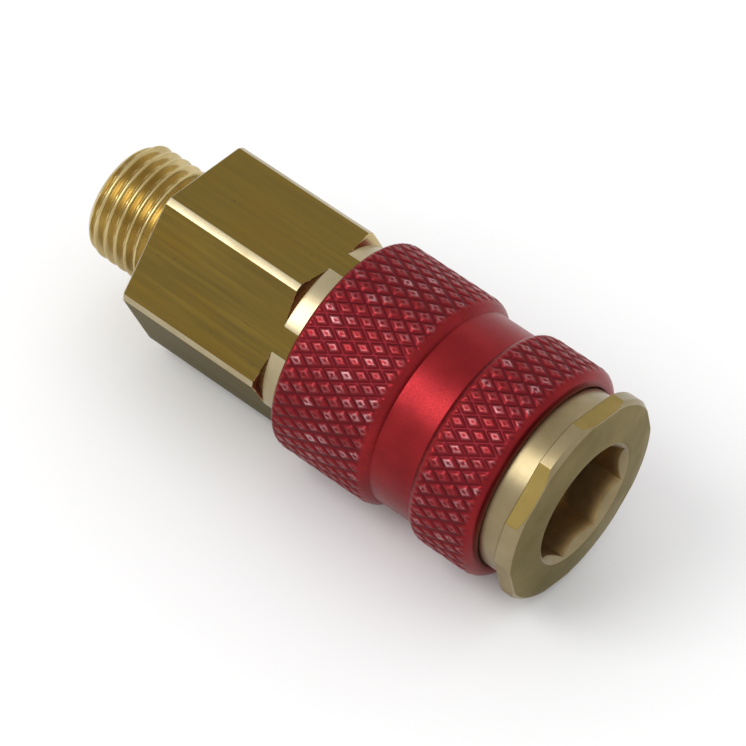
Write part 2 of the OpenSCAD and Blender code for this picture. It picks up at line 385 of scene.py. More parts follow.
@dataclass(frozen=True)
class MilledBrass(TurnedBrass):
    """Milled flats: duller and more olive than the turned faces."""

    light: Rgb = (0.26, 0.188, 0.058)
    dark: Rgb = (0.20, 0.142, 0.040)
    roughness: float = 0.36


@dataclass(frozen=True)
class BandBrass(TurnedBrass):
    """The adapter's turned corners and band: freshly turned and pale."""

    slot: Slot = Slot.BRASS
    light: Rgb = (0.46, 0.39, 0.25)
    dark: Rgb = (0.36, 0.295, 0.17)
    roughness: float = 0.27


@dataclass(frozen=True)
class CutThreadBrass(TurnedBrass):
    """Cut thread: yellower and brighter than the bar."""

    slot: Slot = Slot.BRASS
    light: Rgb = (0.58, 0.46, 0.22)
    dark: Rgb = (0.38, 0.275, 0.10)
    roughness: float = 0.22


@dataclass(frozen=True)
class KeyedBrass(TurnedBrass):
    """Broached walls of the mouth: brown, with random bright orange-brown patches of painted light that
    stand in for light reaching into the recess.
    """

    # Painted light: the bright orange-brown tone stands in for light reaching into the mouth.
    light: Rgb = (0.66, 0.47, 0.22)
    dark: Rgb = (0.27, 0.19, 0.10)
    roughness: float = 0.3


@dataclass(frozen=True)
class ShadedFaceBrass(TurnedBrass):
    """The flange's front face: faced off, with painted shade: darker than the turned brass to stand in for
    the shaded floor that it reflects.
    """

    # Painted shade: these darker tones stand in for the shaded floor that the face reflects.
    light: Rgb = (0.175, 0.140, 0.066)
    dark: Rgb = (0.125, 0.098, 0.043)
    edge: Rgb = (0.93, 0.87, 0.70)
    roughness: float = 0.34


@dataclass(frozen=True)
class RedAnodised(Finish):
    """Red anodised aluminium with worn knurl crests, and painted shade in the knurl's valleys."""

    slot: Slot = Slot.RED
    red: Rgb = (0.25, 0.016, 0.019)
    shade: Rgb = (0.19, 0.012, 0.015)
    # Painted shade: the colour laid into the knurl's valleys and crest hollows.
    shade_in_hollows: Rgb = (0.105, 0.008, 0.012)
    bare: Rgb = (0.54, 0.31, 0.33)
    roughness: float = 0.36

    def paint(self, shader: Shader) -> None:
        """Red dye over the metal, with painted shade in the knurl's valleys and hollow crest centres, worn
        through at the crests' rims.

        Args:
            shader: the fresh material's shader.
        """
        haze = shader.noise(shader.scaled(260, 260), 4)
        grain = shader.noise(shader.scaled(5200, 5200), 2)
        tint = shader.blend(shader.spread(haze, 0.35, 0.7), self.red, self.shade)
        # Painted shade darkens the knurl's valleys and crest hollows.
        tint = shader.blend(shader.attribute(HOLLOW_SHADE), tint, self.shade_in_hollows)
        patch = shader.noise(shader.scaled(330, 330), 2)
        chips = shader.noise(shader.scaled(2600, 2600), 2)
        worn = shader.math("MULTIPLY", shader.attribute(WEAR), shader.spread(patch, 0.38, 0.6, 0.25, 1.0))
        worn = shader.math("MULTIPLY", worn, shader.spread(chips, 0.36, 0.55, 0.1, 1.0), clamp=True)
        tint = shader.blend(worn, tint, self.bare)
        rough = shader.spread(grain, 0.3, 0.7, self.roughness - 0.05, self.roughness + 0.06)
        shader.set(Base_Color=tint, Metallic=0.95, Roughness=rough)
        shader.bump(grain, 0.25, 0.00001)


@dataclass(frozen=True)
class DrawnWire(Finish):
    """Spring wire: grey drawn steel."""

    slot: Slot = Slot.WIRE
    dark: Rgb = (0.42, 0.42, 0.43)
    light: Rgb = (0.60, 0.60, 0.61)

    def paint(self, shader: Shader) -> None:
        """Fine mottling on grey steel.

        Args:
            shader: the fresh material's shader.
        """
        mottle = shader.noise(shader.scaled(1500, 1500), 3)
        tint = shader.blend(shader.spread(mottle, 0.3, 0.7), self.dark, self.light)
        shader.set(Base_Color=tint, Metallic=1.0, Roughness=shader.spread(mottle, 0.3, 0.7, 0.25, 0.4))


@dataclass(frozen=True)
class PolishedSteel(Finish):
    """Hardened and polished steel of the balls."""

    slot: Slot = Slot.BALL
    clean: Rgb = (0.72, 0.72, 0.74)
    scuffed: Rgb = (0.50, 0.50, 0.52)

    def paint(self, shader: Shader) -> None:
        """A nearly clean mirror with faint scuffs.

        Args:
            shader: the fresh material's shader.
        """
        scuff = shader.noise(shader.scaled(2500, 2500), 4)
        tint = shader.blend(shader.spread(scuff, 0.55, 0.75), self.clean, self.scuffed)
        shader.set(Base_Color=tint, Metallic=1.0, Roughness=shader.spread(scuff, 0.4, 0.8, 0.10, 0.24))


@dataclass(frozen=True)
class SealRubber(Finish):
    """Black nitrile rubber."""

    slot: Slot = Slot.RUBBER
    dark: Rgb = (0.018, 0.018, 0.019)
    light: Rgb = (0.035, 0.035, 0.036)

    def paint(self, shader: Shader) -> None:
        """Matt black with a fine moulded grain.

        Args:
            shader: the fresh material's shader.
        """
        grain = shader.noise(shader.scaled(3000, 3000), 3)
        tint = shader.blend(shader.spread(grain, 0.3, 0.7), self.dark, self.light)
        shader.set(Base_Color=tint, Roughness=shader.spread(grain, 0.3, 0.7, 0.5, 0.66))
        shader.bump(grain, 0.2, 0.00001)


@dataclass(frozen=True)
class PressedFibre(Finish):
    """Red-brown pressed fibre of the gasket."""

    slot: Slot = Slot.FIBRE
    dark: Rgb = (0.28, 0.12, 0.06)
    light: Rgb = (0.42, 0.20, 0.10)

    def paint(self, shader: Shader) -> None:
        """Mottled fibre.

        Args:
            shader: the fresh material's shader.
        """
        mottle = shader.noise(shader.scaled(1200, 1200), 5)
        tint = shader.blend(shader.spread(mottle, 0.35, 0.65), self.dark, self.light)
        shader.set(Base_Color=tint, Roughness=0.8)
        shader.bump(mottle, 0.3, 0.00002)


# --------------------------------------------------------------------------- ring stacks


def soft_min(a: Array, b: Array, soft: float) -> Array:
    """The lower of two heights with a rounded change-over.

    Args:
        a: first heights.
        b: second heights.
        soft: width of the rounding, in the same unit.

    Returns:
        The blended heights.
    """
    return 0.5 * (a + b - np.sqrt((a - b) ** 2 + soft ** 2))


def polygon_radius(angles: Array, flats: float, corners: int, turn: float) -> Array:
    """Distance from the axis to a regular polygon.

    Args:
        angles: directions, in radians.
        flats: distance across the flats.
        corners: number of corners.
        turn: direction of one flat's middle, in radians.

    Returns:
        The distance at each angle.
    """
    sector = TURN / corners
    away = (angles - turn + sector / 2) % sector - sector / 2
    return flats / 2 / np.cos(away)


def angles_with(count: int, marks: Iterable[float]) -> Array:
    """Even angles around the axis, with extra ones packed around each mark.

    Args:
        count: number of even angles.
        marks: angles, in radians, that an edge runs along.

    Returns:
        Sorted angles from 0 to a full turn.
    """
    packed = [(mark + step) % TURN for mark in marks for step in NEAR_EDGE]
    return np.unique(np.round(np.concatenate([np.arange(count) * TURN / count, packed]), 6))


@dataclass
class RingStack:
    """A closed solid of rings around the X axis, one after the other around its section."""

    angles: Array
    stations: list[Array] = field(default_factory=list)
    radii: list[Array] = field(default_factory=list)
    skins: list[int] = field(default_factory=list)
    marks: dict[str, list[Array]] = field(default_factory=dict)

    def ring(self, x: float | Array, r: float | Array, skin: int = 0, **marks: Array) -> None:
        """Add one ring.

        Args:
            x: station of the ring, in millimetres, one or one for each angle.
            r: radius of the ring, in millimetres, one or one for each angle.
            skin: material of the faces between this ring and the next.
            marks: values stored on the ring's points.
        """
        size = len(self.angles)
        self.stations.append(np.broadcast_to(np.asarray(x, float), size))
        self.radii.append(np.broadcast_to(np.asarray(r, float), size))
        self.skins.append(skin)
        for name in sorted({*marks, *self.marks}):
            rows = self.marks.setdefault(name, [np.zeros(size)] * (len(self.stations) - 1))
            rows.append(np.broadcast_to(np.asarray(marks.get(name, 0.0), float), size))

    def build(self, name: str, falling: Callable[[int], Array | None] | None = None,
              sharp: float = 32.0) -> Piece:
        """Make the mesh.

        Args:
            name: name of the object.
            falling: for a row of quads, whether each one splits on its falling diagonal, or
                None where the row's quads stay whole.
            sharp: angle in degrees above which an edge stays sharp.

        Returns:
            The new object.
        """
        rows, columns = len(self.stations), len(self.angles)
        x = np.array(self.stations)
        r = np.array(self.radii)
        points = np.stack([x, r * np.cos(self.angles), r * np.sin(self.angles)], axis=-1) * MM
        step = np.arange(columns)
        after = (step + 1) % columns
        faces: list[tuple[int, ...]] = []
        skins: list[int] = []
        for row in range(rows):
            here, there = row * columns, ((row + 1) % rows) * columns
            a, b, c, d = here + step, here + after, there + after, there + step
            split = falling(row) if falling else None
            if split is None:
                faces += list(zip(a.tolist(), b.tolist(), c.tolist(), d.tolist()))
                skins += [self.skins[row]] * columns
                continue
            first = np.where(split[:, None], np.stack([a, b, d], 1), np.stack([a, b, c], 1))
            second = np.where(split[:, None], np.stack([b, c, d], 1), np.stack([a, c, d], 1))
            faces += [tuple(face) for face in np.concatenate([first, second]).tolist()]
            skins += [self.skins[row]] * (2 * columns)
        mesh = bpy.data.meshes.new(name)
        mesh.from_pydata(points.reshape(-1, 3).tolist(), [], faces)
        mesh.polygons.foreach_set("material_index", skins)
        for mark, values in self.marks.items():
            stored = mesh.attributes.new(mark, "FLOAT", "POINT")
            stored.data.foreach_set("value", np.array(values, np.float32).ravel())
        return finish_mesh(mesh, name, sharp)


def put(name: str, data: bpy.types.ID) -> Piece:
    """Put a new object in the scene.

    Args:
        name: the object's name.
        data: its mesh, lamp or camera.

    Returns:
        The linked object.
    """
    piece = bpy.data.objects.new(name, data)
    bpy.context.scene.collection.objects.link(piece)
    return piece


def finish_mesh(mesh: bpy.types.Mesh, name: str, sharp: float) -> Piece:
    """Face a mesh outwards, smooth it between sharp edges and link it.

    Args:
        mesh: the mesh.
        name: name of its object.
        sharp: angle in degrees above which an edge stays sharp.

    Returns:
        The linked object.
    """
    work = bmesh.new()
    work.from_mesh(mesh)
    bmesh.ops.remove_doubles(work, verts=work.verts, dist=1e-7)
    bmesh.ops.recalc_face_normals(work, faces=work.faces)
    limit = math.radians(sharp)
    for edge in work.edges:
        edge.smooth = edge.calc_face_angle(0.0) < limit
    for face in work.faces:
        face.smooth = True
    work.to_mesh(mesh)
    work.free()
    return put(name, mesh)


def dress(piece: Piece, finishes: Iterable[Finish]) -> None:
    """Give a piece its materials.

    Args:
        piece: the object.
        finishes: one finish for each material index of its faces.
    """
    finishes = list(finishes)
    if piece.data.materials:
        piece.data.materials.clear()
    for finish in finishes:
        piece.data.materials.append(finish.material())


def settle(piece: Piece, body: Body, *nodes: str) -> None:
    """Fix a piece to its moving body in place of its plain solids.

    Args:
        piece: the object.
        body: the body that it rides on.
        nodes: the nodes that it stands for.
    """
    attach(piece, body.value)
    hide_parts(*nodes)
    log.info("%s rides on %s and stands for %s", piece.name, body.value, ", ".join(nodes))


# --------------------------------------------------------------------------- sub-assemblies


@dataclass
class InletAdapter:
    """The hexagon of drawn brass with its male thread, turned band and inner steps."""

    thread_radius: float = 6.5785
    thread_depth: float = 0.78
    thread_pitch: float = 1.337
    thread_start: float = 0.9
    thread_fade: float = 0.5
    thread_row: float = 0.07
    flats: float = 20.0
    corner_radius: float = 11.3
    hexagon_length: float = 17.3
    cone_length: float = 0.45
    band_radius: float = 10.1
    bore_radius: float = 4.0
    ledge: float = 11.5
    chamber_radius: float = 6.9
    step: float = 15.4
    socket_radius: float = 8.02
    edge: float = 0.14
    bore_lead: float = 0.5
    band_edge: float = 0.15
    socket_lead: float = 0.2
    points_around: int = 240

    def hexagon(self, angles: Array, limit: float) -> Array:
        """The bar's outline with its corners turned down.

        Args:
            angles: directions in radians.
            limit: radius that the corners are turned to.

        Returns:
            The radius at each angle.
        """
        flat = polygon_radius(angles, self.flats, HEX_CORNERS, math.pi / 2)
        return soft_min(flat, np.full_like(flat, limit), soft=0.03)

    def thread(self, angles: Array, x: float, start: float) -> Array:
        """Radius of the thread at one station.

        Args:
            angles: directions in radians.
            x: the station.
            start: station of the thread's open end.

        Returns:
            The radius at each angle.
        """
        crest, straight, rounded = 1.12, 0.3, 0.7
        phase = (x / self.thread_pitch - angles / TURN) % 1.0
        ramp = np.minimum(1.0, crest * (1 - np.abs(2 * phase - 1)))
        wave = straight * ramp + rounded * (0.5 - 0.5 * np.cos(math.pi * ramp))
        depth = self.thread_depth * min(1.0, max(0.0, -x / self.thread_fade))
        cut = self.thread_radius - depth * (1 - wave)
        cone = self.thread_radius - self.thread_start + (x - start)
        return soft_min(cut, np.full_like(cut, cone), soft=0.12)

    def build(self) -> Piece:
        """Build, dress and settle the adapter.

        Returns:
            The adapter.
        """
        low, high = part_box("inlet_adapter")
        start, end = low.x / MM, high.x / MM
        meets = [math.acos(self.flats / 2 / r) for r in (self.band_radius, self.corner_radius)]
        middles = [math.pi / 2 + k * TURN / HEX_CORNERS for k in range(HEX_CORNERS)]
        marks = [m + side * meet for m in middles for side in (-1, 1) for meet in meets]
        stack = RingStack(angles_with(self.points_around, marks))
        self.add_thread(stack, start)
        self.add_hexagon(stack, end)
        self.add_inside(stack, start, end)
        piece = stack.build("adapter_body")
        self.mark_turned_faces(piece)
        dress(piece, [DrawnBrass(), BandBrass(), CutThreadBrass()])
        settle(piece, Body.HOUSING, "inlet_adapter")
        return piece

    def add_thread(self, stack: RingStack, start: float) -> None:
        """Add the rings of the open end and the thread.

        Args:
            stack: the adapter's rings.
            start: station of the thread's open end.
        """
        skin = AdapterSkin
        stack.ring(start, self.bore_radius + self.bore_lead, skin.TURNED)
        stack.ring(start, self.thread_radius - self.thread_start - 0.25, skin.TURNED)
        for x in np.arange(start + 0.02, -0.03, self.thread_row):
            stack.ring(x, self.thread(stack.angles, x, start), skin.CUT)
        stack.ring(0.0, self.thread_radius - 0.1, skin.TURNED)

    def add_hexagon(self, stack: RingStack, end: float) -> None:
        """Add the rings of the hexagon, its end cone and the turned band.

        Args:
            stack: the adapter's rings.
            end: station of the band's end.
        """
        drawn = AdapterSkin.DRAWN
        outline = self.hexagon(stack.angles, self.corner_radius)
        stack.ring(0.0, outline - self.edge, drawn)
        stack.ring(self.edge, outline, drawn)
        for x in np.linspace(1.0, self.hexagon_length - 0.2, 8):
            stack.ring(x, outline, drawn)
        for share in np.linspace(0.0, 1.0, 13):
            x = self.hexagon_length + share * self.cone_length
            limit = self.corner_radius + share * (self.band_radius - self.corner_radius)
            stack.ring(x, self.hexagon(stack.angles, limit), drawn)
        band = self.hexagon(stack.angles, self.band_radius)
        band_from = self.hexagon_length + self.cone_length
        for x in np.linspace(band_from + 0.1, end - self.band_edge, 12):
            stack.ring(x, band, drawn)
        stack.ring(end, band - self.band_edge, AdapterSkin.TURNED)

    def add_inside(self, stack: RingStack, start: float, end: float) -> None:
        """Add the rings of the bore and its steps, from the front back.

        Args:
            stack: the adapter's rings.
            start: station of the thread's open end.
            end: station of the band's end.
        """
        for x, r in ((end, self.socket_radius + self.socket_lead),
                     (end - self.socket_lead, self.socket_radius),
                     (self.step, self.socket_radius), (self.step, self.chamber_radius),
                     (self.ledge, self.chamber_radius), (self.ledge, self.bore_radius),
                     (start + self.bore_lead, self.bore_radius)):
            stack.ring(x, r, AdapterSkin.TURNED)

    def mark_turned_faces(self, piece: Piece) -> None:
        """Give the turned corners, their end cone and the band their own finishes.

        Args:
            piece: the adapter.
        """
        tolerance = 0.02
        for face in piece.data.polygons:
            centre = face.center / MM
            reach = math.hypot(centre.y, centre.z)
            angle = np.array([math.atan2(centre.z, centre.y)])
            flat = polygon_radius(angle, self.flats, HEX_CORNERS, math.pi / 2)[0]
            on_cone = 0 < centre.x - self.hexagon_length < self.cone_length
            outside = centre.x > 0 and reach > self.flats / 2 - 0.2
            if outside and reach < flat - tolerance:
                face.material_index = AdapterSkin.CUT if on_cone else AdapterSkin.TURNED


@dataclass
class LockSleeve:
    """The red sleeve: two diamond-knurled bands, a satin waist and the cam inside."""

    radius: float = 12.15
    waist_radius: float = 11.15
    rear_band: float = 12.4
    waist: float = 5.1
    soft_round: float = 1.8
    rear_round: float = 1.0
    front_round: float = 1.4
    rear_bore: float = 10.18
    rear_lead: float = 0.4
    lap_bore: float = 10.38
    lap: float = 2.43
    lap_edge: float = 0.1
    recess: float = 9.65
    land: float = 8.68
    land_length: float = 4.0
    shoulder_to_ball: float = 5.27
    starts: int = 48
    steps: int = 12
    slant: float = 30.0
    knurl_depth: float = 0.22
    crest: tuple[float, ...] = (0.0, 0.20, 0.50, 0.86, 1.0, 0.90, 0.86)
    wear_step: float = 3.8
    wear_width: float = 0.8
    wear_least: float = 0.15
    wear_most: float = 1.1
    wear_seed: int = 11
    wear_rows: int = 64

    def __post_init__(self) -> None:
        """Work out the knurl's steps around and along the axis, and each diamond's chance of wear."""
        self.around = np.arange(self.starts * self.steps)
        pitch = TURN * self.radius / self.starts
        self.row_length = pitch / math.tan(math.radians(self.slant)) / self.steps
        self.chances = np.random.default_rng(self.wear_seed).random((self.wear_rows, self.starts))

    def outline(self, x: float, rear: float, front: float) -> float:
        """Radius of the plain sleeve before knurling.

        Args:
            x: the station.
            rear: station of the rear face.
            front: station of the front face.

        Returns:
            The radius.
        """
        drop = self.radius - self.waist_radius
        soft = math.sqrt(self.soft_round ** 2 - (self.soft_round - drop) ** 2)
        waist_from = rear + self.rear_band
        waist_to = waist_from + self.waist
        if x < rear + self.rear_round:
            return self.fall(rear + self.rear_round - x, self.rear_round)
        if x < waist_from - soft:
            return self.radius
        if x < waist_from:
            return self.fall(x - (waist_from - soft), self.soft_round)
        if x <= waist_to:
            return self.waist_radius
        if x < waist_to + soft:
            return self.fall(waist_to + soft - x, self.soft_round)
        if x < front - self.front_round:
            return self.radius
        return self.fall(x - (front - self.front_round), self.front_round)

    def fall(self, along: float, curve: float) -> float:
        """Radius at a distance into a rounded edge.

        Args:
            along: distance from where the rounding starts.
            curve: radius of the rounding.

        Returns:
            The sleeve's radius there.
        """
        along = min(along, curve)
        return self.radius - curve + math.sqrt(curve ** 2 - along ** 2)

    def to_valley(self, steps: Array) -> Array:
        """Whole steps from a point to the nearer valley line of one slant.

        Args:
            steps: whole steps across that slant's lines.

        Returns:
            The distance in steps.
        """
        past = steps % self.steps
        return np.minimum(past, self.steps - past)

    def chance(self, row: int) -> Array:
        """A chance number from 0 to 1 for the diamond that each point of a row lies in.

        Args:
            row: number of the row.

        Returns:
            One number for each point around the sleeve.
        """
        rising = (self.around + row) // self.steps
        sinking = (self.around - row) // self.steps
        return self.chances[(rising - sinking) % self.wear_rows, rising % self.starts]

    def split(self, knurled: dict[int, int], ring: int) -> Array | None:
        """Which diagonal each quad after a ring splits on, so that valleys stay crisp.

        Args:
            knurled: the knurl's row that each knurled ring shows.
            ring: number of the ring.

        Returns:
            True where the quad splits on its falling diagonal, or None off the knurl.
        """
        if ring not in knurled or ring + 1 not in knurled:
            return None
        row = knurled[ring]
        return self.to_valley(self.around + row + 1) < self.to_valley(self.around - row)

    def build(self) -> Piece:
        """Build, dress and settle the sleeve.

        Returns:
            The sleeve.
        """
        low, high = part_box("sleeve")
        rear, front = low.x / MM, high.x / MM
        stack = RingStack(self.around * TURN / (self.starts * self.steps))
        stack.ring(rear + self.rear_lead, self.rear_bore)
        stack.ring(rear, self.rear_bore + self.rear_lead)
        knurled = self.add_bands(stack, rear, front)
        for share in (0.9, 0.97, 1.0):
            x = front - self.front_round * (1 - share)
            stack.ring(x, self.fall(self.front_round * share, self.front_round))
        stack.ring(front, self.lap_bore + self.lap_edge)
        stack.ring(front - self.lap_edge, self.lap_bore)
        stack.ring(front - self.lap, self.lap_bore)
        for x, r in self.cam(front - self.lap):
            stack.ring(x, r)
        piece = stack.build("knurled_sleeve", partial(self.split, knurled), sharp=48)
        dress(piece, [RedAnodised()])
        settle(piece, Body.SLEEVE, "sleeve")
        return piece

    def add_bands(self, stack: RingStack, rear: float, front: float) -> dict[int, int]:
        """Add the rings of both knurled bands and of the waist between them.

        Args:
            stack: the sleeve's rings.
            rear: station of the rear face.
            front: station of the front face.

        Returns:
            The knurl's row that each knurled ring shows.
        """
        knurled: dict[int, int] = {}
        waist_from = rear + self.rear_band
        waist_to = waist_from + self.waist
        for row, x in enumerate(np.arange(rear + 0.002, front - 0.15, self.row_length)):
            for edge in (waist_from, waist_to):
                if x - self.row_length < edge <= x:
                    stack.ring(edge, self.waist_radius)
            plain = self.outline(x, rear, front)
            if waist_from - 0.01 < x < waist_to + 0.01:
                stack.ring(x, plain)
                continue
            away = np.minimum(self.to_valley(self.around + row), self.to_valley(self.around - row))
            cut = self.radius - self.knurl_depth * (1 - np.array(self.crest)[away])
            rim = np.exp(-((away - self.wear_step) / self.wear_width) ** 2)
            rim = rim * (self.wear_least + self.wear_most * self.chance(row) ** 2)
            kept = np.clip((plain - (self.radius - 0.16)) / 0.12, 0.0, 1.0)
            # Painted shade: strongest in the valleys, with more at the crests' hollow centres.
            valley = np.clip((plain - cut) / self.knurl_depth, 0.0, 1.0)
            valley = np.clip(valley + 0.5 * (away > self.steps / 3), 0.0, 1.0)
            knurled[len(stack.stations)] = row
            stack.ring(x, soft_min(np.full_like(cut, plain), cut, soft=0.03),
                       **{WEAR: rim * kept, HOLLOW_SHADE: valley})
        return knurled

    def cam(self, shoulder: float) -> list[tuple[float, float]]:
        """The steps inside the sleeve, from its front shoulder back.

        Args:
            shoulder: station of the shoulder that stops on the collar.

        Returns:
            Stations and radii.
        """
        ball = shoulder - self.shoulder_to_ball
        cone_from, cone_to = ball - 0.5, ball + 2.5
        land_end = cone_from - self.land_length
        return [(shoulder, self.recess), (cone_to, self.recess), (cone_from, self.land),
                (land_end, self.land), (land_end, self.rear_bore)]


@dataclass
class SocketBody:
    """The pale body behind the mouth: collar, barrel with ball holes, bore and valve seat."""

    thread_radius: float = 8.0
    shoulder: float = 24.5
    barrel_radius: float = 8.6
    collar_radius: float = 10.3
    collar_length: float = 5.17
    recess_radius: float = 8.32
    recess_depth: float = 4.57
    bore_radius: float = 5.3
    groove_length: float = 1.86
    groove_depth: float = 1.67
    groove_wall: float = 1.6
    seat_radius: float = 4.9
    seat_reach: float = 3.1
    chamber_radius: float = 6.9
    ball_station: float = 38.03
    ball_hole_radius: float = 2.05
    ball_lip_radius: float = 1.75
    ball_lip_depth: float = 5.6
    ball_wall: float = 1.0
    balls: int = 6
    bevel: float = 0.07
    points_around: int = 192

    def build(self) -> Piece:
        """Build, dress and settle the body.

        Returns:
            The body.
        """
        low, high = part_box("socket_body")
        rear, front = low.x / MM, high.x / MM
        collar = front - self.collar_length
        floor = front - self.recess_depth
        groove = self.ball_station - self.ball_hole_radius - self.ball_wall
        groove_from = groove - self.groove_length
        groove_floor = self.bore_radius + self.groove_depth
        stop, seat = groove_from - self.groove_wall, groove_from - self.seat_reach
        section = [
            (rear, self.thread_radius), (self.shoulder, self.thread_radius),
            (self.shoulder, self.barrel_radius), (collar, self.barrel_radius),
            (collar, self.collar_radius), (front, self.collar_radius),
            (front, self.recess_radius), (floor, self.recess_radius), (floor, self.bore_radius),
            (groove, self.bore_radius), (groove, groove_floor),
            (groove_from, groove_floor), (groove_from, self.bore_radius),
            (stop, self.bore_radius), (stop, self.seat_radius), (seat, self.seat_radius),
            (seat, self.chamber_radius), (rear, self.chamber_radius)]
        piece = self.lathe(section)
        self.drill(piece)
        dress(piece, [TurnedBrass()])
        settle(piece, Body.HOUSING, "socket_body")
        return piece

    def lathe(self, section: list[tuple[float, float]]) -> Piece:
        """Turn a section around the axis, with every corner slightly broken.

        Args:
            section: corners, as station and radius.

        Returns:
            The new object.
        """
        stack = RingStack(np.arange(self.points_around) * TURN / self.points_around)
        for index, (x, r) in enumerate(section):
            here = Vector((x, r))
            before = Vector(section[index - 1]) - here
            after = Vector(section[(index + 1) % len(section)]) - here
            for side in (before, after):
                cut = here + side.normalized() * min(self.bevel, side.length * 0.3)
                stack.ring(cut.x, cut.y)
        return stack.build("collar_and_barrel")

    def drill(self, piece: Piece) -> None:
        """Drill the stepped holes that hold the balls.

        Args:
            piece: the turned body.
        """
        inside, outside = 4.0, 9.5
        cutter = bmesh.new()
        for number in range(self.balls):
            turn = math.pi / 2 + number * TURN / self.balls
            way = Vector((0.0, math.cos(turn), math.sin(turn)))
            spin = way.to_track_quat("Z", "Y").to_matrix().to_4x4()
            for radius, low, high in ((self.ball_lip_radius, inside, self.ball_lip_depth + 0.02),
                                      (self.ball_hole_radius, self.ball_lip_depth, outside)):
                middle = Vector((self.ball_station, 0.0, 0.0)) + way * (low + high) / 2
                place = Matrix.Translation(middle * MM) @ spin
                bmesh.ops.create_cone(cutter, cap_ends=True, segments=64, radius1=radius * MM,
                                      radius2=radius * MM, depth=(high - low) * MM, matrix=place)
        mesh = bpy.data.meshes.new("ball_drill")
        cutter.to_mesh(mesh)
        cutter.free()
        tool = put("ball_drill", mesh)
        cut = piece.modifiers.new("ball_holes", "BOOLEAN")
        cut.object, cut.operation, cut.solver = tool, "DIFFERENCE", "EXACT"
        cut.use_self = True
        bpy.context.view_layer.update()
        solid = bpy.data.meshes.new_from_object(piece.evaluated_get(bpy.context.evaluated_depsgraph_get()))
        piece.modifiers.clear()
        piece.data = solid
        bpy.data.objects.remove(tool)


